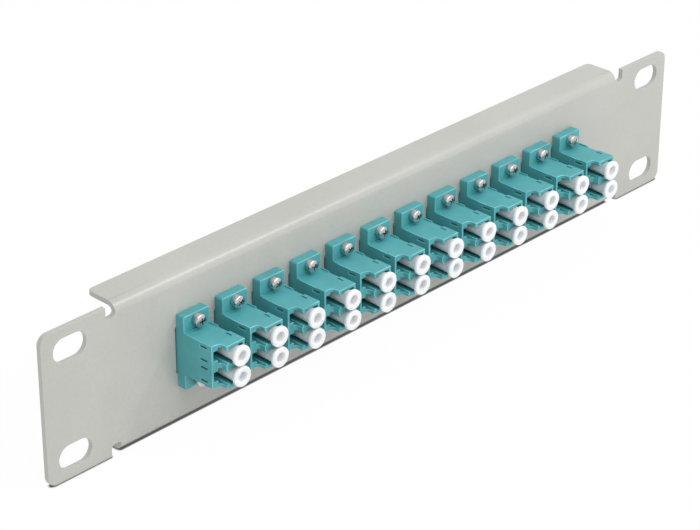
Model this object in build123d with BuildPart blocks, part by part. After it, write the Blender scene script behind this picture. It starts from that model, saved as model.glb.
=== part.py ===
from build123d import *
import os

# Rack panel with a row of duplex fibre couplers. Sizes are in millimetres.
# X runs along the panel, Z points up and the couplers' front ports face -Y.
# The origin is the centre of the four rack slots on the back face of the ears.

# Folded sheet panel
panel_width = 254.0
panel_height = 44.4
sheet_thickness = 1.5
ear_corner_radius = 3.0
rack_slot_spacing_x = 235.0
rack_slot_spacing_z = 31.5
rack_slot_length = 11.0
rack_slot_width = 7.0

# Folded middle of the panel, between the reliefs that separate it from the ears
fold_length = 204.0
fold_depth = 11.0
fold_inner_radius = 1.5
fold_corner_radius = 1.5
relief_width = 3.4
relief_depth = 3.5
relief_corner_radius = 1.2

# Row of couplers
coupler_count = 12
coupler_pitch = 14.0
cutout_corner_radius = 0.5
cutout_side_clearance = 0.1
cutout_end_clearance = 0.4

# Coupler housing: two like halves that meet in the middle of the flange
flange_width = 9.2
flange_height = 22.0
flange_thickness = 3.0
flange_corner_radius = 0.5
body_height = 12.6
body_reach = 13.2
body_key_side = 4.3
root_step = 0.25
root_length = 3.5
root_rib_height = 0.3
root_rib_depth = 0.6
root_rib_width = 0.5
collar_length = 5.6
collar_side_step = 0.5
collar_end_step = 0.1
collar_slot_width = 0.6
collar_slot_length = 2.2
collar_slot_depth = 0.4
collar_slot_inset = 1.5

# Ports: a square socket with a stepped latch way beside it
port_pitch = 6.25
port_offset = 1.7
middle_wall = 1.2
socket_size = 4.6
mouth_width = 4.9
mouth_height = 4.8
neck_depth = 0.9
neck_width = 3.5
shoulder_depth = 1.0
shoulder_width = 4.6
latch_depth = 1.45
latch_width = 2.8
latch_way_length = 8.2
latch_setback = 2.7
latch_setback_width = 2.8
latch_setback_radius = 1.3
window_length = 2.6
window_height = 0.6
window_spread = 3.9
window_inset = 4.6

# Split alignment sleeve and the barrel that holds it
sleeve_length = 6.8
sleeve_outer_diameter = 1.6
sleeve_bore = 1.25
sleeve_slit = 0.3
sleeve_clearance = 0.03
sleeve_end_clearance = 0.05
barrel_wall = 0.62
barrel_lip_length = 0.6
barrel_lip_bore = 1.35

# Dust plug
plug_clearance = 0.05
plug_grip_length = 2.6
plug_tip_diameter = 3.9
plug_flare_diameter = 5.7
plug_head_diameter = 5.9
plug_head_length = 1.5
plug_reach = 2.4
plug_recess_diameter = 2.9
plug_recess_depth = 2.0

# Flange screws and their nuts
screw_spacing = 18.0
screw_diameter = 2.0
screw_length = 8.0
screw_hole_clearance = 0.15
screw_head_diameter = 3.7
screw_head_height = 2.35
screw_head_rim = 1.75
screw_head_fullness = 0.85
screw_recess_width = 0.55
screw_recess_span = 2.4
screw_recess_depth = 1.0
nut_across_flats = 4.0
nut_thickness = 1.6
nut_clearance = 0.025

# Places that follow from the sizes
coupler_places = [(i - (coupler_count - 1) / 2) * coupler_pitch for i in range(coupler_count)]
meeting_y = -sheet_thickness - flange_thickness / 2
port_face = flange_thickness / 2 + body_reach
collar_start = port_face - collar_length
latch_side = flange_width / 2
collar_side = body_key_side + collar_side_step
collar_height = body_height + 2 * collar_end_step
root_side = body_key_side + root_step
root_height = body_height + 2 * root_rib_height
port_heights = (port_pitch / 2, -port_pitch / 2)
barrel_radius = sleeve_outer_diameter / 2 + sleeve_clearance + barrel_wall
barrel_reach = sleeve_length / 2 + sleeve_end_clearance + barrel_lip_length
screw_hole_radius = screw_diameter / 2 + screw_hole_clearance
screw_dome = screw_head_height - screw_head_rim
plug_face = port_face + plug_reach


def box_between(x_low, x_high, height):
    """A rectangle from one x to another, centred on the sketch's x axis"""
    with Locations(((x_low + x_high) / 2, 0)):
        return Rectangle(x_high - x_low, height)


# Panel: ears and web are one flat sheet, and the middle is folded back at top and bottom
with BuildPart() as panel_plate:
    with BuildSketch(Plane.XZ):
        RectangleRounded(panel_width, panel_height, ear_corner_radius)
        Rectangle(fold_length, panel_height, mode=Mode.SUBTRACT)
        with GridLocations(fold_length + relief_width, panel_height, 2, 2):
            RectangleRounded(relief_width, 2 * relief_depth, relief_corner_radius, mode=Mode.SUBTRACT)
        with GridLocations(rack_slot_spacing_x, rack_slot_spacing_z, 2, 2):
            SlotOverall(rack_slot_length, rack_slot_width, mode=Mode.SUBTRACT)
    extrude(amount=sheet_thickness)
    with BuildSketch(Plane.YZ.offset(-fold_length / 2)):
        with Locations((-sheet_thickness, 0)):
            RectangleRounded(
                2 * fold_depth,
                panel_height,
                fold_inner_radius + sheet_thickness,
                align=(Align.MIN, Align.CENTER),
            )
        RectangleRounded(
            2 * fold_depth,
            panel_height - 2 * sheet_thickness,
            fold_inner_radius,
            align=(Align.MIN, Align.CENTER),
            mode=Mode.SUBTRACT,
        )
        with Locations((fold_depth - sheet_thickness, 0)):
            Rectangle(2 * fold_depth, panel_height, align=(Align.MIN, Align.CENTER), mode=Mode.SUBTRACT)
    extrude(amount=fold_length)
    fillet(panel_plate.edges().filter_by(Axis.Z).group_by(Axis.Y)[-1], fold_corner_radius)
    with BuildSketch(Plane.XZ):
        with GridLocations(coupler_pitch, 0, coupler_count, 1):
            RectangleRounded(
                2 * (max(latch_side, collar_side) + cutout_side_clearance),
                max(collar_height, root_height) + 2 * cutout_end_clearance,
                cutout_corner_radius,
            )
        with GridLocations(coupler_pitch, screw_spacing, coupler_count, 2):
            Circle(screw_hole_radius)
    extrude(amount=sheet_thickness, mode=Mode.SUBTRACT)
panel_plate.part.label = "panel_plate"

# Half of a coupler housing, facing -Y from the plane where the two halves meet
with BuildPart() as housing_half:
    with BuildSketch(Plane.XZ):
        box_between(-latch_side, body_key_side, body_height)
    extrude(amount=port_face)
    with BuildSketch(Plane.XZ):
        box_between(-latch_side, root_side, body_height)
        box_between(root_side - root_rib_width, root_side, root_height)
    extrude(amount=flange_thickness / 2 + root_length)
    with BuildSketch(Plane.XZ):
        box_between(-latch_side, root_side, root_height)
    extrude(amount=flange_thickness / 2 + root_rib_depth)
    with BuildSketch(Plane.XZ.offset(collar_start)):
        box_between(-latch_side, collar_side, collar_height)
    extrude(amount=collar_length)
    with BuildSketch(Plane.XZ):
        RectangleRounded(flange_width, flange_height, flange_corner_radius)
        with GridLocations(0, screw_spacing, 1, 2):
            Circle(screw_hole_radius, mode=Mode.SUBTRACT)
    extrude(amount=flange_thickness / 2)

    # Sockets, wider at the mouth, with a barrel standing on the middle wall of each
    with BuildSketch(Plane.XZ.offset(middle_wall)):
        with Locations(*[(port_offset, height) for height in port_heights]):
            Rectangle(socket_size, socket_size)
    extrude(amount=port_face, mode=Mode.SUBTRACT)
    with BuildSketch(Plane.XZ.offset(collar_start)):
        with Locations(*[(port_offset, height) for height in port_heights]):
            Rectangle(mouth_width, mouth_height)
    extrude(amount=port_face, mode=Mode.SUBTRACT)
    with BuildSketch(Plane.XZ):
        with Locations(*[(port_offset, height) for height in port_heights]):
            Circle(barrel_radius)
    extrude(amount=barrel_reach)
    with BuildSketch(Plane.XZ):
        with Locations(*[(port_offset, height) for height in port_heights]):
            Circle(sleeve_outer_diameter / 2 + sleeve_clearance)
    extrude(amount=sleeve_length / 2 + sleeve_end_clearance, mode=Mode.SUBTRACT)
    with BuildSketch(Plane.XZ):
        with Locations(*[(port_offset, height) for height in port_heights]):
            Circle(barrel_lip_bore / 2)
    extrude(amount=barrel_reach, mode=Mode.SUBTRACT)

    # Latch way: neck, shoulders and latch slot step outwards from the socket
    neck_edge = port_offset - socket_size / 2
    shoulder_edge = neck_edge - neck_depth
    latch_edge = shoulder_edge - shoulder_depth
    with BuildSketch(Plane.XZ.offset(port_face - latch_way_length)):
        with Locations(*[(neck_edge, height) for height in port_heights]):
            Rectangle(neck_depth, neck_width, align=(Align.MAX, Align.CENTER))
        with Locations(*[(shoulder_edge, height) for height in port_heights]):
            Rectangle(shoulder_depth, shoulder_width, align=(Align.MAX, Align.CENTER))
        with Locations(*[(latch_edge, height) for height in port_heights]):
            Rectangle(latch_depth, latch_width, align=(Align.MAX, Align.CENTER))
    extrude(amount=latch_way_length, mode=Mode.SUBTRACT)

    # The walls on the latch side stand back behind a curve
    with BuildSketch(Plane.XY) as setback:
        with Locations((-latch_side, -port_face)):
            Rectangle(latch_setback_width, latch_setback, align=(Align.MIN, Align.MIN))
        fillet(setback.vertices().group_by(Axis.Y)[-1].sort_by(Axis.X)[-1], latch_setback_radius)
    extrude(amount=collar_height, both=True, mode=Mode.SUBTRACT)

    # Latch windows: thin slots from the side face into the shoulders of the latch way
    window_middle = port_face - window_inset - window_length / 2
    with BuildSketch(Plane.YZ.offset(-latch_side)):
        for height in port_heights:
            with Locations((-window_middle, height)):
                with GridLocations(0, window_spread, 1, 2):
                    Rectangle(window_length, window_height)
    extrude(amount=latch_side + latch_edge, mode=Mode.SUBTRACT)

    # A short slot in the top and bottom of the collar
    for side in (1, -1):
        with BuildSketch(Plane.XY.offset(side * (collar_height / 2 - collar_slot_depth))):
            with Locations((collar_side - collar_slot_inset, -collar_start)):
                Rectangle(collar_slot_width, collar_slot_length, align=(Align.CENTER, Align.MAX))
        extrude(amount=side * collar_slot_depth, mode=Mode.SUBTRACT)

with BuildPart() as housing_half_rear:
    mirror(housing_half.part, about=Plane.XZ)

# Sleeve: a slit tube, held between the lips of the two barrels
with BuildPart() as sleeve:
    with BuildSketch(Plane.XZ):
        Circle(sleeve_outer_diameter / 2)
        Circle(sleeve_bore / 2, mode=Mode.SUBTRACT)
        Rectangle(sleeve_outer_diameter, sleeve_slit, align=(Align.MIN, Align.CENTER), mode=Mode.SUBTRACT)
    extrude(amount=sleeve_length / 2, both=True)

# Dust plug: a hollow tapered stem that slides over the barrel, a flare and a head with a blind hole
with BuildPart() as dust_plug:
    with BuildSketch(Plane.XY):
        with BuildLine():
            Polyline(
                (0, -barrel_reach),
                (barrel_radius + plug_clearance, -barrel_reach),
                (barrel_radius + plug_clearance, -barrel_reach + plug_grip_length),
                (plug_tip_diameter / 2, -barrel_reach + plug_grip_length),
                (mouth_height / 2 - plug_clearance, -port_face),
                (plug_flare_diameter / 2, -plug_face + plug_head_length),
                (plug_head_diameter / 2, -plug_face + plug_head_length),
                (plug_head_diameter / 2, -plug_face),
                (plug_recess_diameter / 2, -plug_face),
                (plug_recess_diameter / 2, -plug_face + plug_recess_depth),
                (0, -plug_face + plug_recess_depth),
                close=True,
            )
        make_face()
    revolve(axis=Axis.Y)

with BuildPart() as dust_plug_rear:
    mirror(dust_plug.part, about=Plane.XZ)

# Pan head screw with a cross recess, its head seated on the XZ plane
with BuildPart() as screw:
    with BuildSketch(Plane.XY):
        with BuildLine():
            Polyline(
                (0, screw_length),
                (screw_diameter / 2, screw_length),
                (screw_diameter / 2, 0),
                (screw_head_diameter / 2, 0),
                (screw_head_diameter / 2, -screw_head_rim),
            )
            ThreePointArc(
                (screw_head_diameter / 2, -screw_head_rim),
                (screw_head_diameter / 4, -screw_head_rim - screw_head_fullness * screw_dome),
                (0, -screw_head_height),
            )
            Line((0, -screw_head_height), (0, screw_length))
        make_face()
    revolve(axis=Axis.Y)
    with BuildSketch(Plane.XZ.offset(screw_head_height - screw_recess_depth)):
        Rectangle(screw_recess_span, screw_recess_width)
        Rectangle(screw_recess_width, screw_recess_span)
    extrude(amount=screw_head_height, mode=Mode.SUBTRACT)

# Hex nut, seated on the XZ plane behind the sheet
with BuildPart() as nut:
    with BuildSketch(Plane.XZ.offset(-nut_thickness)):
        RegularPolygon(nut_across_flats / 2, 6, major_radius=False)
        Circle(screw_diameter / 2 + nut_clearance, mode=Mode.SUBTRACT)
    extrude(amount=nut_thickness)


os.makedirs("parts", exist_ok=True)
export_step(panel_plate.part, "parts/panel_plate.step")


def write_piece(label, shape, places):
    """Writes one node that holds a copy of the shape at each place"""
    with BuildPart() as piece:
        with Locations(*places):
            add(shape)
    piece.part.label = label
    export_step(piece.part, f"parts/{label}.step")


# Housings and front dust plugs are a node each
for number, place_x in enumerate(coupler_places, start=1):
    write_piece(f"front_housing_{number:02d}", housing_half.part, [(place_x, meeting_y, 0)])
    write_piece(f"rear_housing_{number:02d}", housing_half_rear.part, [(place_x, meeting_y, 0)])
    for row, height in zip(("upper", "lower"), port_heights):
        label = f"dust_plug_{number:02d}_{row}"
        write_piece(label, dust_plug.part, [(place_x + port_offset, meeting_y, height)])

# What repeats out of sight, and the fasteners, share a node for each row
for row, height in zip(("upper", "lower"), port_heights):
    places = [(place_x + port_offset, meeting_y, height) for place_x in coupler_places]
    write_piece(f"rear_dust_plugs_{row}", dust_plug_rear.part, places)
for row, height in (("upper", screw_spacing / 2), ("lower", -screw_spacing / 2)):
    places = [(place_x, -sheet_thickness - flange_thickness, height) for place_x in coupler_places]
    write_piece(f"flange_screws_{row}", screw.part, places)
    places = [(place_x, 0, height) for place_x in coupler_places]
    write_piece(f"hex_nuts_{row}", nut.part, places)
places = [(place_x + port_offset, meeting_y, height) for place_x in coupler_places for height in port_heights]
write_piece("split_sleeves", sleeve.part, places)
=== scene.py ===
"""Dresses a rack panel with a row of duplex fibre couplers: finishes, plugs, fasteners, light and camera."""
import math

import bmesh
import bpy
from mathutils import Matrix, Vector


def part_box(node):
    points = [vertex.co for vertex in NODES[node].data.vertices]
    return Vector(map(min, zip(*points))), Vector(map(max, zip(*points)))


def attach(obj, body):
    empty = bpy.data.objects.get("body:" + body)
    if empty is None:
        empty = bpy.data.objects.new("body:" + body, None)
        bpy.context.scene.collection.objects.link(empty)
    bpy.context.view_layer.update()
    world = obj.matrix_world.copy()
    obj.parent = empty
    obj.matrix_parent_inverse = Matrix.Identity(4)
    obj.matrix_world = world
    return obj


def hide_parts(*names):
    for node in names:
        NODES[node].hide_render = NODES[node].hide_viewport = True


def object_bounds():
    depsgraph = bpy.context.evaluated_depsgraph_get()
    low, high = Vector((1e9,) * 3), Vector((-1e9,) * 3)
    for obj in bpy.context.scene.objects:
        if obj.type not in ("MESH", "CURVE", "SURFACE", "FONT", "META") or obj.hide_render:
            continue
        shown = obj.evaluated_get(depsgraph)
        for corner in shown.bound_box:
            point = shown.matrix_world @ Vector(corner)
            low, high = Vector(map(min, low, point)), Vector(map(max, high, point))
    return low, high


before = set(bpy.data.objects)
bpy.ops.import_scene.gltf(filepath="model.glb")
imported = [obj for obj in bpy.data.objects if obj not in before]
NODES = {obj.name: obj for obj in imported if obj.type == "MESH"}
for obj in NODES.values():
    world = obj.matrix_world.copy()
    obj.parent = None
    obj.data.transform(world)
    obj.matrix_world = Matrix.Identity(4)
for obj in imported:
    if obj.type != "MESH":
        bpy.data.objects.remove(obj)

bl_info = {
    "name": "Fibre coupler rack panel",
    "version": (1, 0, 0),
    "blender": (4, 5, 0),
    "location": "View3D > Sidebar > Rack Panel",
    "description": "Dresses a rack panel with a row of duplex fibre couplers",
    "category": "Object",
}

CAD_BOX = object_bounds()
FRONT_HOUSINGS = sorted(n for n in NODES if n.startswith("front_housing_"))
REAR_HOUSINGS = sorted(n for n in NODES if n.startswith("rear_housing_"))
FRONT_PLUGS = sorted(n for n in NODES if n.startswith("dust_plug_"))
REAR_PLUGS = ("rear_dust_plugs_upper", "rear_dust_plugs_lower")
SCREWS = ("flange_screws_upper", "flange_screws_lower")
NUTS = ("hex_nuts_upper", "hex_nuts_lower")
PLUG_RADIUS = (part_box(FRONT_PLUGS[0])[1].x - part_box(FRONT_PLUGS[0])[0].x) / 2
MM = 0.001

# Reaches of the mesh steps, in millimetres
MERGE_REACH = 1e-3
CUT_REACH = 1e-4
SEAM_REACH = 1e-2

# Angles of the mesh steps, in degrees
FLAT_ANGLE = 0.5
PATCH_ANGLE = 25
EDGE_ANGLE = 40
SHARP_ANGLE = 60
METAL_SHARP_ANGLE = 30

# Rows of faces in a rounded edge, and how strongly large faces decide the shading, with 50 as neutral
ROUNDING_ROWS = 2
FACE_WEIGHT = 90

# Steps and sides of turned pieces
PLUG_SIDES = 40
PLUG_STEPS = 8
PLUG_CORNER_STEPS = 4
SCREW_SIDES = 32
SCREW_CORNER_STEPS = 3
DOME_STEPS = 6
CHAMFER_SIDES = 48
NUT_SIDES = 6
FLARE_CURVE = 1.25

# Radius in metres within which a profile's point lies on the axis
AXIS_REACH = 1e-7

# Most of a profile's straight stretch that the rounding of one corner takes
CORNER_SHARE = 0.48

# Distance that cutting pieces stand out past what they cut
CUTTER_REACH = 1.0 * MM
CHAMFER_REACH = 0.05 * MM

# Detail of a finish's noises, places of its two colours on them, and its least roughness
CLOUD_DETAIL = 3.0
GRAIN_DETAIL = 2.0
SHADE_PLACE = 0.3
COLOUR_PLACE = 0.62
LEAST_ROUGHNESS = 0.05

# Camera, and floor with its painted shadow
SENSOR_WIDTH = 36.0
CLIP_START = 0.02
PAINTED_SHADOW_SAMPLES = 16


def length(name, description, default):
    """A size in metres, with its default given in millimetres"""
    return bpy.props.FloatProperty(
        name=name,
        description=description,
        default=default * MM,
        min=0.0,
        precision=5,
        unit="LENGTH",
        subtype="DISTANCE",
    )


def colour(name, description, default):
    return bpy.props.FloatVectorProperty(
        name=name, description=description, default=default, size=3, min=0.0, max=1.0, subtype="COLOR"
    )


def share(name, description, default):
    return bpy.props.FloatProperty(
        name=name, description=description, default=default, min=0.0, max=1.0, subtype="FACTOR"
    )


def place(name, description, default):
    return bpy.props.FloatVectorProperty(
        name=name, description=description, default=default, subtype="XYZ", unit="LENGTH"
    )


def power(name, description, default):
    return bpy.props.FloatProperty(name=name, description=description, default=default, unit="POWER")


class PanelSettings(bpy.types.PropertyGroup):
    coat_colour: colour("Coat", "Colour of the powder coat", (0.452, 0.45, 0.42))
    coat_shade: colour("Coat shade", "Darker colour that the coat drifts towards", (0.414, 0.411, 0.382))
    roughness: share("Roughness", "Roughness of the powder coat", 0.32)
    cloud_size: length("Clouds", "Size of the coat's drifts of colour", 30.0)
    grain_size: length("Grain", "Size of the coat's fine texture", 0.9)
    grain_depth: length("Grain depth", "Depth of the coat's fine texture", 0.055)
    edge_radius: length("Edge radius", "Rounding of the sheet's edges under the coat", 0.15)
    rack_slot_place: length("Rack slots", "Distance of the rack slots from the panel's middle", 117.5)
    relief_place: length("Reliefs", "Distance of the bend reliefs from the panel's middle", 103.7)
    relief_reach: length("Relief reach", "Distance from a relief within which the edges stay crisp", 5.5)


class HousingSettings(bpy.types.PropertyGroup):
    body_colour: colour("Body", "Colour of the moulded housings", (0.078, 0.36, 0.385))
    body_shade: colour("Body shade", "Deeper colour that the moulding drifts towards", (0.062, 0.315, 0.34))
    # The rounded edges get a lighter colour, which is a painted highlight along the moulding's edges
    painted_edge_highlight: colour("Edges", "Colour of the moulding's rounded edges", (0.19, 0.58, 0.60))
    roughness: share("Roughness", "Roughness of the moulded plastic", 0.42)
    cloud_size: length("Clouds", "Size of the moulding's drifts of colour", 6.0)
    painted_highlight_cloud_size: length("Edge clouds", "Size of the drifts of colour on the rounded edges", 4.0)
    grain_size: length("Grain", "Size of the spark eroded grain", 0.16)
    grain_depth: length("Grain depth", "Depth of the spark eroded grain", 0.005)
    edge_radius: length("Edge radius", "Rounding of the moulding's outer edges", 0.18)
    window_place: length("Windows", "Distance of the latch windows' middle from the port face", 5.9)


class PlugSettings(bpy.types.PropertyGroup):
    plug_colour: colour("Plug", "Colour of the dust plugs", (0.77, 0.78, 0.79))
    plug_shade: colour("Plug shade", "Colour that the plugs drift towards", (0.725, 0.735, 0.745))
    roughness: share("Roughness", "Roughness of the soft plastic", 0.5)
    cloud_size: length("Clouds", "Size of the plastic's drifts of colour", 4.0)
    grain_size: length("Grain", "Size of the plastic's fine texture", 0.3)
    grain_depth: length("Grain depth", "Depth of the plastic's fine texture", 0.004)
    glow: share("Glow", "Share of the light that goes into the plastic and comes out again", 0.8)
    glow_reach: length("Glow reach", "Distance that light goes in the plastic", 1.2)
    tip_diameter: length("Tip", "Diameter of the stem at its inner end", 3.9)
    stem_diameter: length("Stem", "Diameter of the stem at the port's mouth", 4.3)
    flare_diameter: length("Flare", "Diameter of the flare at the back of the head", 5.9)
    head_length: length("Head", "Length of the head", 0.9)
    recess_diameter: length("Recess", "Diameter of the blind hole in the head", 2.9)
    recess_depth: length("Recess depth", "Depth of the blind hole in the head", 2.0)
    bore_diameter: length("Bore", "Diameter of the bore that slides over the barrel", 3.0)
    bore_depth: length("Bore depth", "Depth of the bore that slides over the barrel", 2.6)
    rim_radius: length("Rim radius", "Rounding of the head's rims", 0.35)


class ScrewSettings(bpy.types.PropertyGroup):
    metal_colour: colour("Metal", "Colour of the nickel plating", (0.63, 0.625, 0.625))
    metal_shade: colour("Metal shade", "Colour that the plating drifts towards", (0.40, 0.395, 0.395))
    roughness: share("Roughness", "Roughness of the nickel plating", 0.2)
    cloud_size: length("Clouds", "Size of the plating's drifts of colour", 2.0)
    grain_size: length("Grain", "Size of the plating's fine texture", 0.12)
    grain_depth: length("Grain depth", "Depth of the plating's fine texture", 0.002)
    head_height: length("Head", "Height of the screw head", 2.35)
    head_rim: length("Head rim", "Height of the straight rim of the screw head", 1.75)
    shaft_diameter: length("Thread", "Outer diameter of the thread", 2.0)
    thread_pitch: length("Pitch", "Pitch of the thread", 0.4)
    thread_depth: length("Thread depth", "Depth of the thread", 0.16)
    cross_span: length("Cross span", "Span of the cross recess", 2.6)
    cross_width: length("Cross width", "Width of the cross recess", 0.56)
    cross_depth: length("Cross depth", "Depth of the cross recess", 0.9)
    cross_taper: share("Cross taper", "Share of the cross recess's width that is left at its bottom", 0.55)
    seat_radius: length("Seat radius", "Rounding of the head's lower rim", 0.12)
    turn: bpy.props.FloatProperty(
        name="Turn",
        description="Most that a screw is turned either way",
        default=0.9,
        unit="ROTATION",
        subtype="ANGLE",
    )
    seed: bpy.props.IntProperty(name="Seed", description="Seed for the screws' turns", default=7)


class NutSettings(bpy.types.PropertyGroup):
    metal_colour: colour("Metal", "Colour of the nuts' plating", (0.40, 0.395, 0.395))
    metal_shade: colour("Metal shade", "Colour that the nuts' plating drifts towards", (0.63, 0.625, 0.625))
    roughness: share("Roughness", "Roughness of the nuts' plating", 0.28)
    cloud_size: length("Clouds", "Size of the plating's drifts of colour", 3.0)
    grain_size: length("Grain", "Size of the plating's fine texture", 0.15)
    grain_depth: length("Grain depth", "Depth of the plating's fine texture", 0.003)
    chamfer: length("Chamfer", "Height of the chamfer on the nuts' corners", 0.3)
    bore_diameter: length("Bore", "Diameter of the nuts' bore", 2.05)


class SleeveSettings(bpy.types.PropertyGroup):
    bronze_colour: colour("Bronze", "Colour of the split sleeves", (0.62, 0.40, 0.22))
    bronze_shade: colour("Bronze shade", "Colour that the bronze drifts towards", (0.50, 0.31, 0.17))
    roughness: share("Roughness", "Roughness of the bronze", 0.28)
    cloud_size: length("Clouds", "Size of the bronze's drifts of colour", 2.0)
    grain_size: length("Grain", "Size of the bronze's fine texture", 0.1)
    grain_depth: length("Grain depth", "Depth of the bronze's fine texture", 0.002)


class StageSettings(bpy.types.PropertyGroup):
    camera_place: place("Camera", "Place of the camera", (-0.464794, -0.430025, 0.329041))
    camera_turn: bpy.props.FloatVectorProperty(
        name="Camera turn",
        description="Turn of the camera about X, Y and Z",
        default=tuple(math.radians(a) for a in (62.1032, -0.1489, -46.2699)),
        subtype="EULER",
        unit="ROTATION",
    )
    camera_lens: bpy.props.FloatProperty(
        name="Lens", description="Focal length on a 36 mm wide sensor", default=128.934, unit="CAMERA"
    )
    key_place: place("Key lamp", "Place of the key lamp", (-0.05, -0.44, 0.52))
    key_size: length("Key size", "Side of the key lamp's square face", 600.0)
    key_power: power("Key power", "Power of the key lamp", 2.0)
    side_place: place("Side lamp", "Place of the lamp that lights the bends", (0.34, -0.36, 0.47))
    side_size: length("Side size", "Side of the side lamp's square face", 60.0)
    side_power: power("Side power", "Power of the side lamp", 0.8)
    sky_colour: colour("Sky", "Colour of the light from all round", (0.84, 0.84, 0.845))
    floor_colour: colour("Floor", "Colour of the floor", (0.86, 0.86, 0.86))
    floor_size: length("Floor size", "Side of the square floor", 6000.0)
    floor_white: share("Floor white", "Share of plain white that the camera sees on the floor", 0.97)
    # The floor's white is darkened beside the panel by ambient occlusion, which is a painted shadow
    painted_shadow_colour: colour("Contact", "Colour of the floor right beside the panel", (0.09, 0.09, 0.095))
    painted_shadow_reach: length("Contact reach", "Distance over which the floor darkens towards the panel", 1.0)
    painted_shadow_start: share("Contact start", "Open share of the floor's view that counts as covered", 0.55)
    painted_shadow_end: share("Contact end", "Open share of the floor's view that counts as clear", 0.9)


def middle(box):
    return (box[0] + box[1]) / 2


def column_places():
    """Places along X of the columns of couplers, from the row of screws"""
    low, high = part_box(SCREWS[0])
    radius = (high.z - low.z) / 2
    step = (high.x - low.x - 2 * radius) / (len(FRONT_HOUSINGS) - 1)
    return [low.x + radius + step * i for i in range(len(FRONT_HOUSINGS))]


def mesh_object(name, bm):
    """Turns a bmesh into a linked object and frees it"""
    mesh = bpy.data.meshes.new(name)
    bm.to_mesh(mesh)
    bm.free()
    piece = bpy.data.objects.new(name, mesh)
    bpy.context.scene.collection.objects.link(piece)
    return piece


def settle(piece):
    """Makes what the modifiers give the piece's own plain mesh"""
    graph = bpy.context.evaluated_depsgraph_get()
    mesh = bpy.data.meshes.new_from_object(
        piece.evaluated_get(graph), preserve_all_data_layers=True, depsgraph=graph
    )
    mesh.name = piece.name
    before = piece.data
    piece.modifiers.clear()
    piece.data = mesh
    bpy.data.meshes.remove(before)


def shade(mesh, sharp_angle):
    """Smooth shading that breaks at edges sharper than the angle"""
    for face in mesh.polygons:
        face.use_smooth = True
    mesh.set_sharp_from_angle(angle=math.radians(sharp_angle))


def mapped_noise(tree, coords, size, detail):
    """A noise of the given size in metres"""
    noise = tree.nodes.new("ShaderNodeTexNoise")
    noise.inputs["Scale"].default_value = 1.0 / size
    noise.inputs["Detail"].default_value = detail
    tree.links.new(coords.outputs["Object"], noise.inputs["Vector"])
    return noise


def finish_material(name, colours, own, cloud_size, metallic=0.0, speck=0.15, spread=0.06):
    """A finish whose colour and roughness drift over the surface, with a fine raised grain

    Speck is the grain's share in the drift, and spread is how far the roughness strays either way.
    """
    material = bpy.data.materials.new(name)
    material.use_nodes = True
    tree = material.node_tree
    tree.nodes.clear()
    shader = tree.nodes.new("ShaderNodeBsdfPrincipled")
    output = tree.nodes.new("ShaderNodeOutputMaterial")
    tree.links.new(shader.outputs["BSDF"], output.inputs["Surface"])
    shader.inputs["Metallic"].default_value = metallic
    coords = tree.nodes.new("ShaderNodeTexCoord")
    cloud = mapped_noise(tree, coords, cloud_size, CLOUD_DETAIL)
    grain = mapped_noise(tree, coords, own.grain_size, GRAIN_DETAIL)

    blend = tree.nodes.new("ShaderNodeMix")
    blend.data_type = "FLOAT"
    blend.inputs["Factor"].default_value = speck
    tree.links.new(cloud.outputs["Fac"], blend.inputs[2])
    tree.links.new(grain.outputs["Fac"], blend.inputs[3])
    ramp = tree.nodes.new("ShaderNodeValToRGB")
    ramp.color_ramp.elements[0].position = SHADE_PLACE
    ramp.color_ramp.elements[0].color = (*colours[1], 1.0)
    ramp.color_ramp.elements[1].position = COLOUR_PLACE
    ramp.color_ramp.elements[1].color = (*colours[0], 1.0)
    tree.links.new(blend.outputs[0], ramp.inputs["Fac"])
    tree.links.new(ramp.outputs["Color"], shader.inputs["Base Color"])

    rough = tree.nodes.new("ShaderNodeMapRange")
    rough.inputs["To Min"].default_value = max(own.roughness - spread, LEAST_ROUGHNESS)
    rough.inputs["To Max"].default_value = min(own.roughness + spread, 1.0)
    tree.links.new(blend.outputs[0], rough.inputs["Value"])
    tree.links.new(rough.outputs["Result"], shader.inputs["Roughness"])

    bump = tree.nodes.new("ShaderNodeBump")
    bump.inputs["Strength"].default_value = 1.0
    bump.inputs["Distance"].default_value = own.grain_depth
    tree.links.new(grain.outputs["Fac"], bump.inputs["Height"])
    tree.links.new(bump.outputs["Normal"], shader.inputs["Normal"])
    return material


def patch_widths(bm):
    """The smooth patch that each face belongs to, and the mean width of each patch"""
    smooth_angle = math.radians(PATCH_ANGLE)
    patch = {}
    widths = []
    for first in bm.faces:
        if first in patch:
            continue
        patch[first] = len(widths)
        waiting = [first]
        area = 0.0
        rim = 0.0
        while waiting:
            face = waiting.pop()
            area += face.calc_area()
            for edge in face.edges:
                beside = [f for f in edge.link_faces if f is not face]
                if len(beside) == 1 and face.normal.angle(beside[0].normal, 0.0) < smooth_angle:
                    if beside[0] not in patch:
                        patch[beside[0]] = patch[first]
                        waiting.append(beside[0])
                else:
                    rim += edge.calc_length()
        widths.append(2.0 * area / rim if rim else math.inf)
    return patch, widths


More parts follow.
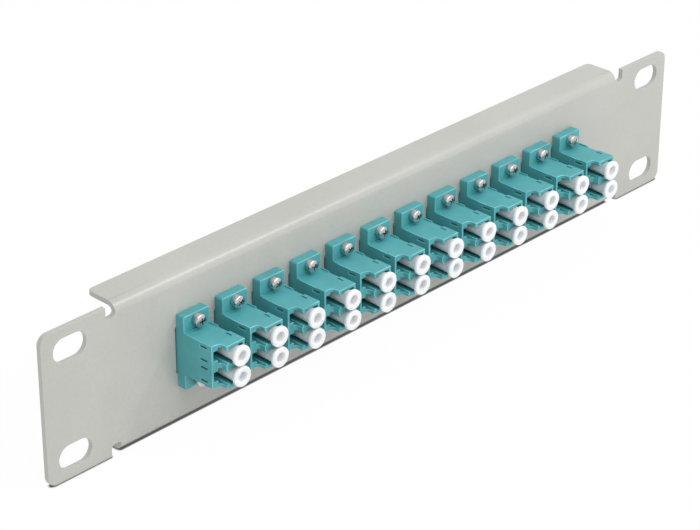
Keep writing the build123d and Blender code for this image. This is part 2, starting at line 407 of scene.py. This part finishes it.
def rounded_copy(node, name, radius, splits, seam_y=None, crisp=(), crisp_reach=0.0):
    """A copy of a CAD node, in millimetres, whose outer edges are marked and set to be rounded

    Each split is an axis and a place along it. A plane there parts the flat faces, so that none keeps a
    hole inside. Edges on the seam plane, on a narrow step or within reach of a crisp place stay as they are.
    """
    bm = bmesh.new()
    bm.from_mesh(NODES[node].data)
    bmesh.ops.scale(bm, vec=(1.0 / MM,) * 3, verts=bm.verts)
    bmesh.ops.remove_doubles(bm, verts=bm.verts, dist=MERGE_REACH)
    for axis, spot in splits:
        normal = Vector([1.0 if i == axis else 0.0 for i in range(3)])
        parts = bm.verts[:] + bm.edges[:] + bm.faces[:]
        found = bmesh.ops.bisect_plane(
            bm, geom=parts, plane_co=normal * spot / MM, plane_no=normal, dist=CUT_REACH
        )
        for part in found["geom_cut"]:
            if isinstance(part, bmesh.types.BMEdge):
                part.seam = True
    bmesh.ops.dissolve_limit(
        bm, angle_limit=math.radians(FLAT_ANGLE), verts=bm.verts, edges=bm.edges, delimit={"SEAM"}
    )
    bm.normal_update()
    patch, widths = patch_widths(bm)
    weight = bm.edges.layers.float.new("bevel_weight_edge")
    for edge in bm.edges:
        if len(edge.link_faces) != 2 or edge.calc_face_angle_signed(0.0) < math.radians(EDGE_ANGLE):
            continue
        if seam_y is not None and all(abs(v.co.y - seam_y / MM) < SEAM_REACH for v in edge.verts):
            continue
        if any(all((v.co * MM - spot).length < crisp_reach for v in edge.verts) for spot in crisp):
            continue
        if min(widths[patch[face]] for face in edge.link_faces) > 2.0 * radius / MM:
            edge[weight] = 1.0
    piece = mesh_object(name, bm)
    loaded_normals = piece.data.attributes.get("custom_normal")
    if loaded_normals:
        piece.data.attributes.remove(loaded_normals)
    bevel = piece.modifiers.new("rounding", "BEVEL")
    bevel.limit_method = "WEIGHT"
    bevel.width = radius / MM
    bevel.segments = ROUNDING_ROWS
    bevel.use_clamp_overlap = False
    # The rounded edge faces take the second finish slot, which on the housings holds a painted highlight
    bevel.material = 1
    return piece


def finish_copy(piece, node, materials):
    """Gives a rounded copy its finishes and even shading, and puts it in the CAD node's place"""
    for material in materials:
        piece.data.materials.append(material)
    settle(piece)
    shade(piece.data, SHARP_ANGLE)
    flat = piece.modifiers.new("flat_faces", "WEIGHTED_NORMAL")
    flat.keep_sharp = True
    flat.weight = FACE_WEIGHT
    split = piece.modifiers.new("triangles", "TRIANGULATE")
    split.keep_custom_normals = True
    settle(piece)
    piece.data.transform(Matrix.Scale(MM, 4))
    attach(piece, "root")
    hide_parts(node)


def soften(points, steps):
    """Rounds the corners of a profile. Each point is a radius, a place along Y and the corner's rounding"""
    line = []
    for i, (radius, along, rounding) in enumerate(points):
        here = Vector((radius, along))
        if rounding <= 0.0 or i in (0, len(points) - 1):
            line.append(here)
            continue
        before = Vector(points[i - 1][:2]) - here
        after = Vector(points[i + 1][:2]) - here
        half = before.angle(after) / 2.0
        reach = min(rounding / math.tan(half), CORNER_SHARE * before.length, CORNER_SHARE * after.length)
        start = here + before.normalized() * reach
        end = here + after.normalized() * reach
        for step in range(steps + 1):
            t = step / steps
            line.append(start * (1 - t) ** 2 + here * 2 * t * (1 - t) + end * t ** 2)
    return line


def turned_piece(name, line, sides):
    """A closed piece turned about the Y axis from a profile of radius and place along Y"""
    bm = bmesh.new()
    angles = [2.0 * math.pi * i / sides for i in range(sides)]
    rings = []
    # Vectors hold the values in single precision, as meshes do
    for radius, along in map(Vector, line):
        if radius < AXIS_REACH:
            rings.append([bm.verts.new((0.0, along, 0.0))])
        else:
            rings.append([bm.verts.new((radius * math.cos(a), along, radius * math.sin(a))) for a in angles])
    for one, two in zip(rings, rings[1:]):
        for i in range(sides):
            j = (i + 1) % sides
            corners = [one[i % len(one)], one[j % len(one)], two[j % len(two)], two[i % len(two)]]
            corners = list(dict.fromkeys(corners))
            if len(corners) > 2:
                bm.faces.new(corners)
    bmesh.ops.recalc_face_normals(bm, faces=bm.faces)
    return mesh_object(name, bm)


def tapered_bar(name, span, width, low, high, taper):
    """A bar from one place along Y to another, whose far end keeps only a share of its span and width"""
    bm = bmesh.new()
    corners = []
    for along, factor in ((low, 1.0), (high, taper)):
        for sx, sz in ((1, 1), (-1, 1), (-1, -1), (1, -1)):
            corners.append(bm.verts.new((sx * span / 2 * factor, along, sz * width / 2 * factor)))
    outer, inner = corners[:4], corners[4:]
    bm.faces.new(outer)
    bm.faces.new(inner[::-1])
    for i in range(4):
        j = (i + 1) % 4
        bm.faces.new((outer[i], inner[i], inner[j], outer[j]))
    bmesh.ops.recalc_face_normals(bm, faces=bm.faces)
    return mesh_object(name, bm)


def cut(piece, cutter, operation="DIFFERENCE"):
    """Cuts one closed piece with another, or keeps what they share, and removes the other"""
    change = piece.modifiers.new("cut", "BOOLEAN")
    change.object = cutter
    change.operation = operation
    change.solver = "EXACT"
    settle(piece)
    mesh = cutter.data
    bpy.data.objects.remove(cutter)
    bpy.data.meshes.remove(mesh)


def rows_tree():
    """A tree that sets copies of one piece out in rows, each turned by a random share about its own axis"""
    tree = bpy.data.node_groups.new("rows_of_pieces", "GeometryNodeTree")
    for name, kind in (
        ("Piece", "NodeSocketGeometry"),
        ("Columns", "NodeSocketInt"),
        ("Rows", "NodeSocketInt"),
        ("Width", "NodeSocketFloat"),
        ("Height", "NodeSocketFloat"),
        ("Centre", "NodeSocketVector"),
        ("Turn", "NodeSocketFloat"),
        ("Seed", "NodeSocketInt"),
        ("Finish", "NodeSocketMaterial"),
    ):
        tree.interface.new_socket(name=name, in_out="INPUT", socket_type=kind)
    tree.interface.new_socket(name="Pieces", in_out="OUTPUT", socket_type="NodeSocketGeometry")
    nodes, links = tree.nodes, tree.links
    entry = nodes.new("NodeGroupInput")
    grid = nodes.new("GeometryNodeMeshGrid")
    upright = nodes.new("GeometryNodeTransform")
    upright.inputs["Rotation"].default_value = (math.pi / 2, 0.0, 0.0)
    other_way = nodes.new("ShaderNodeMath")
    other_way.operation = "MULTIPLY"
    other_way.inputs[1].default_value = -1.0
    angle = nodes.new("FunctionNodeRandomValue")
    angle.data_type = "FLOAT"
    turn = nodes.new("ShaderNodeCombineXYZ")
    copies = nodes.new("GeometryNodeInstanceOnPoints")
    realize = nodes.new("GeometryNodeRealizeInstances")
    finish = nodes.new("GeometryNodeSetMaterial")
    leave = nodes.new("NodeGroupOutput")
    random_out = next(s for s in angle.outputs if s.enabled)
    random_in = [s for s in angle.inputs if s.enabled and s.type == "VALUE"]
    links.new(entry.outputs["Columns"], grid.inputs["Vertices X"])
    links.new(entry.outputs["Rows"], grid.inputs["Vertices Y"])
    links.new(entry.outputs["Width"], grid.inputs["Size X"])
    links.new(entry.outputs["Height"], grid.inputs["Size Y"])
    links.new(grid.outputs["Mesh"], upright.inputs["Geometry"])
    links.new(entry.outputs["Centre"], upright.inputs["Translation"])
    links.new(entry.outputs["Turn"], other_way.inputs[0])
    links.new(other_way.outputs[0], random_in[0])
    links.new(entry.outputs["Turn"], random_in[1])
    links.new(entry.outputs["Seed"], next(s for s in angle.inputs if s.enabled and s.name == "Seed"))
    links.new(random_out, turn.inputs["Y"])
    links.new(upright.outputs["Geometry"], copies.inputs["Points"])
    links.new(entry.outputs["Piece"], copies.inputs["Instance"])
    links.new(turn.outputs["Vector"], copies.inputs["Rotation"])
    links.new(copies.outputs["Instances"], realize.inputs["Geometry"])
    links.new(realize.outputs["Geometry"], finish.inputs["Geometry"])
    links.new(entry.outputs["Finish"], finish.inputs["Material"])
    links.new(finish.outputs["Geometry"], leave.inputs["Pieces"])
    return tree


def set_out(piece, nodes, material, sharp_angle, turn=0.0, seed=0):
    """Sets copies of a piece made about the Y axis out on the centres of the CAD nodes' two rows"""
    low = Vector(map(min, *(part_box(n)[0] for n in nodes)))
    high = Vector(map(max, *(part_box(n)[1] for n in nodes)))
    upper = [n for n in nodes if n.endswith("_upper")]
    lower = [n for n in nodes if n.endswith("_lower")]
    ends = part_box(FRONT_HOUSINGS[0])[0].x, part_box(FRONT_HOUSINGS[-1])[0].x
    inputs = {
        "Columns": len(FRONT_HOUSINGS),
        "Rows": 2,
        "Width": ends[1] - ends[0],
        "Height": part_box(upper[0])[0].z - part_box(lower[0])[0].z,
        "Centre": ((low.x + high.x) / 2, 0.0, (low.z + high.z) / 2),
        "Turn": turn,
        "Seed": seed,
        "Finish": material,
    }
    tree = bpy.data.node_groups.get("rows_of_pieces") or rows_tree()
    rows = piece.modifiers.new("rows", "NODES")
    rows.node_group = tree
    for item in tree.interface.items_tree:
        if item.in_out == "INPUT" and item.name in inputs:
            rows[item.identifier] = inputs[item.name]
    settle(piece)
    shade(piece.data, sharp_angle)
    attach(piece, "root")
    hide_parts(*nodes)


def plug_profile(settings, tip, port, face):
    """Profile of a dust plug from the bore's end at the tip, past the port, to the face of its head"""
    way = 1.0 if face > tip else -1.0
    bore = settings.bore_diameter / 2
    narrow = settings.tip_diameter / 2
    stem = settings.stem_diameter / 2
    flare = settings.flare_diameter / 2
    recess = settings.recess_diameter / 2
    rim = settings.rim_radius
    back = face - way * settings.head_length
    bore_end = tip + way * settings.bore_depth
    recess_end = face - way * settings.recess_depth
    line = [(0.0, bore_end, 0.0), (bore, bore_end, 0.0), (bore, tip, rim / 3), (narrow, tip, rim / 2)]
    for step in range(PLUG_STEPS + 1):
        t = step / PLUG_STEPS
        line.append((stem + (flare - stem) * t ** FLARE_CURVE, port + (back - port) * t, 0.0))
    line += [(PLUG_RADIUS, face, rim), (recess, face, rim), (recess, recess_end, rim), (0.0, recess_end, 0.0)]
    return soften(line, PLUG_CORNER_STEPS)


def screw_profile(settings, low, high, thread_start):
    """Profile of a screw, in the row's box, from the top of its domed head to the end of its thread"""
    head = (high.z - low.z) / 2
    shaft = settings.shaft_diameter / 2
    root = shaft - settings.thread_depth
    seat = low.y + settings.head_height
    dome = settings.head_height - settings.head_rim
    line = [(0.0, low.y, 0.0)]
    for step in range(1, DOME_STEPS + 1):
        a = math.pi / 2 * step / DOME_STEPS
        line.append((head * math.sin(a), seat - settings.head_rim - dome * math.cos(a), 0.0))
    line += [(head, seat, settings.seat_radius), (shaft, seat, 0.0), (shaft, thread_start, 0.0)]
    along = thread_start
    while along + settings.thread_pitch < high.y:
        line.append((root, along + settings.thread_pitch / 2, 0.0))
        line.append((shaft, along + settings.thread_pitch, 0.0))
        along += settings.thread_pitch
    line += [(root, high.y, 0.0), (0.0, high.y, 0.0)]
    return soften(line, SCREW_CORNER_STEPS)


class RackPanelOperator(bpy.types.Operator):
    """Shared parts of the operators"""

    bl_idname = "rack_panel.base"
    bl_label = "Rack panel step"
    bl_options = {"REGISTER", "UNDO"}

    def execute(self, context):
        self.make(context.scene.rack_panel)
        return {"FINISHED"}


class DressPanel(RackPanelOperator):
    """Rounds the sheet panel's edges and gives it its powder coat"""

    bl_idname = "rack_panel.dress_panel"
    bl_label = "Sheet panel"

    def make(self, settings):
        own = settings.panel
        coat = finish_material(
            "powder_coat", (own.coat_colour, own.coat_shade), own, own.cloud_size, speck=0.35, spread=0.05
        )
        splits = [(0, x) for x in (*column_places(), own.rack_slot_place, -own.rack_slot_place)]
        ends = own.relief_place, -own.relief_place
        reliefs = [Vector((x, 0.0, corner.z)) for x in ends for corner in CAD_BOX]
        piece = rounded_copy(
            "panel_plate", "sheet_panel", own.edge_radius, splits, crisp=reliefs, crisp_reach=own.relief_reach
        )
        finish_copy(piece, "panel_plate", (coat, coat))


class DressHousings(RackPanelOperator):
    """Rounds the housings' edges, gives them their moulded plastic and paints a highlight on the rounded
    edges
    """

    bl_idname = "rack_panel.dress_housings"
    bl_label = "Coupler housings"

    def make(self, settings):
        own = settings.housing
        body = finish_material("moulded_plastic", (own.body_colour, own.body_shade), own, own.cloud_size)
        # The second finish goes on the rounded edges and is lighter than the body: a painted highlight
        rim = finish_material("painted_edge_highlight_finish", (own.painted_edge_highlight, own.body_colour), own, own.painted_highlight_cloud_size)
        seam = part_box(FRONT_HOUSINGS[0])[1].y
        for nodes, title in ((FRONT_HOUSINGS, "front_half"), (REAR_HOUSINGS, "rear_half")):
            for node, column in zip(nodes, column_places()):
                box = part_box(node)
                window = box[0].y + own.window_place if title == "front_half" else box[1].y - own.window_place
                plug = middle(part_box(f"dust_plug_{node[-2:]}_upper"))
                splits = [(0, column), (0, plug.x), (1, window), (2, plug.z), (2, -plug.z)]
                piece = rounded_copy(node, f"{title}_{node[-2:]}", own.edge_radius, splits, seam)
                finish_copy(piece, node, (body, rim))


class FitDustPlugs(RackPanelOperator):
    """Makes the dust plugs of the front and rear ports"""

    bl_idname = "rack_panel.fit_dust_plugs"
    bl_label = "Dust plugs"

    def make(self, settings):
        own = settings.plug
        soft = finish_material(
            "soft_plastic", (own.plug_colour, own.plug_shade), own, own.cloud_size, spread=0.05
        )
        shader = next(n for n in soft.node_tree.nodes if n.type == "BSDF_PRINCIPLED")
        shader.inputs["Subsurface Weight"].default_value = own.glow
        shader.inputs["Subsurface Scale"].default_value = own.glow_reach
        shader.inputs["Subsurface Radius"].default_value = (1.0, 1.0, 1.0)
        front_low, front_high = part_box(FRONT_PLUGS[0])
        rear_low, rear_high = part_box(REAR_PLUGS[0])
        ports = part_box(FRONT_HOUSINGS[0])[0].y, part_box(REAR_HOUSINGS[0])[1].y
        for name, nodes, tip, port, face in (
            ("front_dust_plugs", FRONT_PLUGS, front_high.y, ports[0], front_low.y),
            ("back_dust_plugs", REAR_PLUGS, rear_low.y, ports[1], rear_high.y),
        ):
            piece = turned_piece(name, plug_profile(own, tip, port, face), PLUG_SIDES)
            set_out(piece, nodes, soft, SHARP_ANGLE)


class FitScrews(RackPanelOperator):
    """Makes the flange screws with their cross recesses and threads"""

    bl_idname = "rack_panel.fit_screws"
    bl_label = "Flange screws"

    def make(self, settings):
        own = settings.screw
        low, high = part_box(SCREWS[0])
        thread_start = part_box(NUTS[0])[1].y
        piece = turned_piece("flange_screws", screw_profile(own, low, high, thread_start), SCREW_SIDES)
        start = low.y - CUTTER_REACH
        end = low.y + own.cross_depth
        for span, width in ((own.cross_span, own.cross_width), (own.cross_width, own.cross_span)):
            cut(piece, tapered_bar("cross_cutter", span, width, start, end, own.cross_taper))
        colours = own.metal_colour, own.metal_shade
        plating = finish_material("nickel_plating", colours, own, own.cloud_size, metallic=1.0, speck=0.3)
        set_out(piece, SCREWS, plating, METAL_SHARP_ANGLE, own.turn, own.seed)


class FitNuts(RackPanelOperator):
    """Makes the hex nuts with chamfered corners and a bore"""

    bl_idname = "rack_panel.fit_nuts"
    bl_label = "Hex nuts"

    def make(self, settings):
        own = settings.nut
        low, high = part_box(NUTS[0])
        flat = (high.z - low.z) / 2
        corner = 2 * flat / math.sqrt(3.0)
        outside = corner + CHAMFER_REACH
        start = low.y - CUTTER_REACH
        end = high.y + CUTTER_REACH
        bore = own.bore_diameter / 2
        prism = ((0.0, low.y), (corner, low.y), (corner, high.y), (0.0, high.y))
        cone = (
            (0.0, low.y),
            (flat, low.y),
            (outside, low.y + own.chamfer),
            (outside, high.y - own.chamfer),
            (flat, high.y),
            (0.0, high.y),
        )
        piece = turned_piece("hex_nuts", prism, NUT_SIDES)
        cut(piece, turned_piece("chamfer_cutter", cone, CHAMFER_SIDES), "INTERSECT")
        rod = ((0.0, start), (bore, start), (bore, end), (0.0, end))
        cut(piece, turned_piece("bore_cutter", rod, SCREW_SIDES))
        colours = own.metal_colour, own.metal_shade
        plating = finish_material("nut_plating", colours, own, own.cloud_size, metallic=1.0, speck=0.3)
        set_out(piece, NUTS, plating, METAL_SHARP_ANGLE)


class DressSleeves(RackPanelOperator):
    """Gives the split sleeves their bronze"""

    bl_idname = "rack_panel.dress_sleeves"
    bl_label = "Split sleeves"

    def make(self, settings):
        own = settings.sleeve
        bronze = finish_material(
            "sleeve_bronze", (own.bronze_colour, own.bronze_shade), own, own.cloud_size, metallic=1.0
        )
        for finish_slot in NODES["split_sleeves"].material_slots:
            finish_slot.material = bronze


class SetStage(RackPanelOperator):
    """Makes the floor, the lamps, the sky and the camera"""

    bl_idname = "rack_panel.set_stage"
    bl_label = "Stage"

    def make(self, settings):
        own = settings.stage
        scene = bpy.context.scene
        scene.view_settings.view_transform = "Standard"
        self.make_floor(own)
        self.make_sky(own, scene)
        target = middle(CAD_BOX)
        self.make_lamp("key_lamp", own.key_place, own.key_size, own.key_power, target)
        self.make_lamp("side_lamp", own.side_place, own.side_size, own.side_power, target)
        camera = bpy.data.objects.new("camera", bpy.data.cameras.new("camera"))
        scene.collection.objects.link(camera)
        camera.location = own.camera_place
        camera.rotation_euler = own.camera_turn
        camera.data.sensor_width = SENSOR_WIDTH
        camera.data.lens = own.camera_lens
        camera.data.clip_start = CLIP_START
        scene.camera = camera

    def make_floor(self, own):
        half = own.floor_size / 2
        corners = ((-half, -half), (half, -half), (half, half), (-half, half))
        bm = bmesh.new()
        bm.faces.new([bm.verts.new((x, y, CAD_BOX[0].z)) for x, y in corners])
        floor = mesh_object("floor", bm)
        floor.data.materials.append(self.floor_material(own))

    def floor_material(self, own):
        """White where it is seen, with a painted shadow darkening it where the panel stands, and plain where
        it throws light
        """
        material = bpy.data.materials.new("floor_white")
        material.use_nodes = True
        tree = material.node_tree
        tree.nodes.clear()
        plain = tree.nodes.new("ShaderNodeBsdfDiffuse")
        plain.inputs["Color"].default_value = (*own.floor_colour, 1.0)
        white = tree.nodes.new("ShaderNodeEmission")
        # Ambient occlusion darkens the white that the camera sees beside the panel: a painted shadow
        painted_shadow_occlusion = tree.nodes.new("ShaderNodeAmbientOcclusion")
        painted_shadow_occlusion.samples = PAINTED_SHADOW_SAMPLES
        painted_shadow_occlusion.inputs["Distance"].default_value = own.painted_shadow_reach
        painted_shadow_ramp = tree.nodes.new("ShaderNodeValToRGB")
        painted_shadow_ramp.color_ramp.elements[0].position = own.painted_shadow_start
        painted_shadow_ramp.color_ramp.elements[0].color = (*own.painted_shadow_colour, 1.0)
        painted_shadow_ramp.color_ramp.elements[1].position = own.painted_shadow_end
        painted_shadow_ramp.color_ramp.elements[1].color = (1.0, 1.0, 1.0, 1.0)
        tree.links.new(painted_shadow_occlusion.outputs["AO"], painted_shadow_ramp.inputs["Fac"])
        tree.links.new(painted_shadow_ramp.outputs["Color"], white.inputs["Color"])
        direct = tree.nodes.new("ShaderNodeMath")
        direct.operation = "MULTIPLY"
        direct.inputs[1].default_value = own.floor_white
        tree.links.new(self.seen_rays(tree), direct.inputs[0])
        mix = tree.nodes.new("ShaderNodeMixShader")
        output = tree.nodes.new("ShaderNodeOutputMaterial")
        tree.links.new(direct.outputs[0], mix.inputs["Fac"])
        tree.links.new(plain.outputs["BSDF"], mix.inputs[1])
        tree.links.new(white.outputs["Emission"], mix.inputs[2])
        tree.links.new(mix.outputs["Shader"], output.inputs["Surface"])
        return material

    def seen_rays(self, tree):
        """One for what the camera sees straight on, in a mirror or through glass, and nought for light"""
        path = tree.nodes.new("ShaderNodeLightPath")
        first = tree.nodes.new("ShaderNodeMath")
        first.operation = "MAXIMUM"
        tree.links.new(path.outputs["Is Camera Ray"], first.inputs[0])
        tree.links.new(path.outputs["Is Glossy Ray"], first.inputs[1])
        second = tree.nodes.new("ShaderNodeMath")
        second.operation = "MAXIMUM"
        tree.links.new(first.outputs[0], second.inputs[0])
        tree.links.new(path.outputs["Is Transmission Ray"], second.inputs[1])
        return second.outputs[0]

    def make_sky(self, own, scene):
        world = bpy.data.worlds.new("studio")
        scene.world = world
        world.use_nodes = True
        tree = world.node_tree
        tree.nodes.clear()
        light = tree.nodes.new("ShaderNodeBackground")
        light.inputs["Color"].default_value = (*own.sky_colour, 1.0)
        white = tree.nodes.new("ShaderNodeBackground")
        white.inputs["Color"].default_value = (1.0, 1.0, 1.0, 1.0)
        mix = tree.nodes.new("ShaderNodeMixShader")
        output = tree.nodes.new("ShaderNodeOutputWorld")
        tree.links.new(self.seen_rays(tree), mix.inputs["Fac"])
        tree.links.new(light.outputs["Background"], mix.inputs[1])
        tree.links.new(white.outputs["Background"], mix.inputs[2])
        tree.links.new(mix.outputs["Shader"], output.inputs["Surface"])

    def make_lamp(self, name, spot, size, energy, target):
        lamp = bpy.data.objects.new(name, bpy.data.lights.new(name, "AREA"))
        bpy.context.scene.collection.objects.link(lamp)
        lamp.data.shape = "SQUARE"
        lamp.data.size = size
        lamp.data.energy = energy
        lamp.location = spot
        lamp.rotation_euler = (target - Vector(spot)).to_track_quat("-Z", "Y").to_euler()


OPERATORS = (DressPanel, DressHousings, FitDustPlugs, FitScrews, FitNuts, DressSleeves, SetStage)
GROUPS = (
    PanelSettings,
    HousingSettings,
    PlugSettings,
    ScrewSettings,
    NutSettings,
    SleeveSettings,
    StageSettings,
)


def group_of(kind, name, description):
    return bpy.props.PointerProperty(type=kind, name=name, description=description)


class RackPanelSettings(bpy.types.PropertyGroup):
    panel: group_of(PanelSettings, "Sheet panel", "Settings of the sheet panel")
    housing: group_of(HousingSettings, "Housings", "Settings of the housings")
    plug: group_of(PlugSettings, "Dust plugs", "Settings of the dust plugs")
    screw: group_of(ScrewSettings, "Screws", "Settings of the flange screws")
    nut: group_of(NutSettings, "Nuts", "Settings of the nuts")
    sleeve: group_of(SleeveSettings, "Sleeves", "Settings of the split sleeves")
    stage: group_of(StageSettings, "Stage", "Settings of the stage")


class RackPanelSidebar(bpy.types.Panel):
    """Lists the steps and their settings in the sidebar"""

    bl_idname = "VIEW3D_PT_rack_panel"
    bl_label = "Rack Panel"
    bl_space_type = "VIEW_3D"
    bl_region_type = "UI"
    bl_category = "Rack Panel"

    def draw(self, context):
        settings = context.scene.rack_panel
        for operator in OPERATORS:
            self.layout.operator(operator.bl_idname)
        for name in ("panel", "housing", "plug", "screw", "nut", "sleeve", "stage"):
            box = self.layout.box()
            group = getattr(settings, name)
            for key in group.bl_rna.properties.keys():
                if key not in ("rna_type", "name"):
                    box.prop(group, key)


def register():
    for cls in (*GROUPS, RackPanelSettings, *OPERATORS, RackPanelSidebar):
        bpy.utils.register_class(cls)
    bpy.types.Scene.rack_panel = bpy.props.PointerProperty(
        type=RackPanelSettings, name="Rack panel", description="Settings of the rack panel"
    )


def unregister():
    del bpy.types.Scene.rack_panel
    for cls in reversed((*GROUPS, RackPanelSettings, *OPERATORS, RackPanelSidebar)):
        bpy.utils.unregister_class(cls)


def main():
    register()
    bpy.ops.rack_panel.dress_panel()
    bpy.ops.rack_panel.dress_housings()
    bpy.ops.rack_panel.fit_dust_plugs()
    bpy.ops.rack_panel.fit_screws()
    bpy.ops.rack_panel.fit_nuts()
    bpy.ops.rack_panel.dress_sleeves()
    bpy.ops.rack_panel.set_stage()


if __name__ == "__main__":
    main()
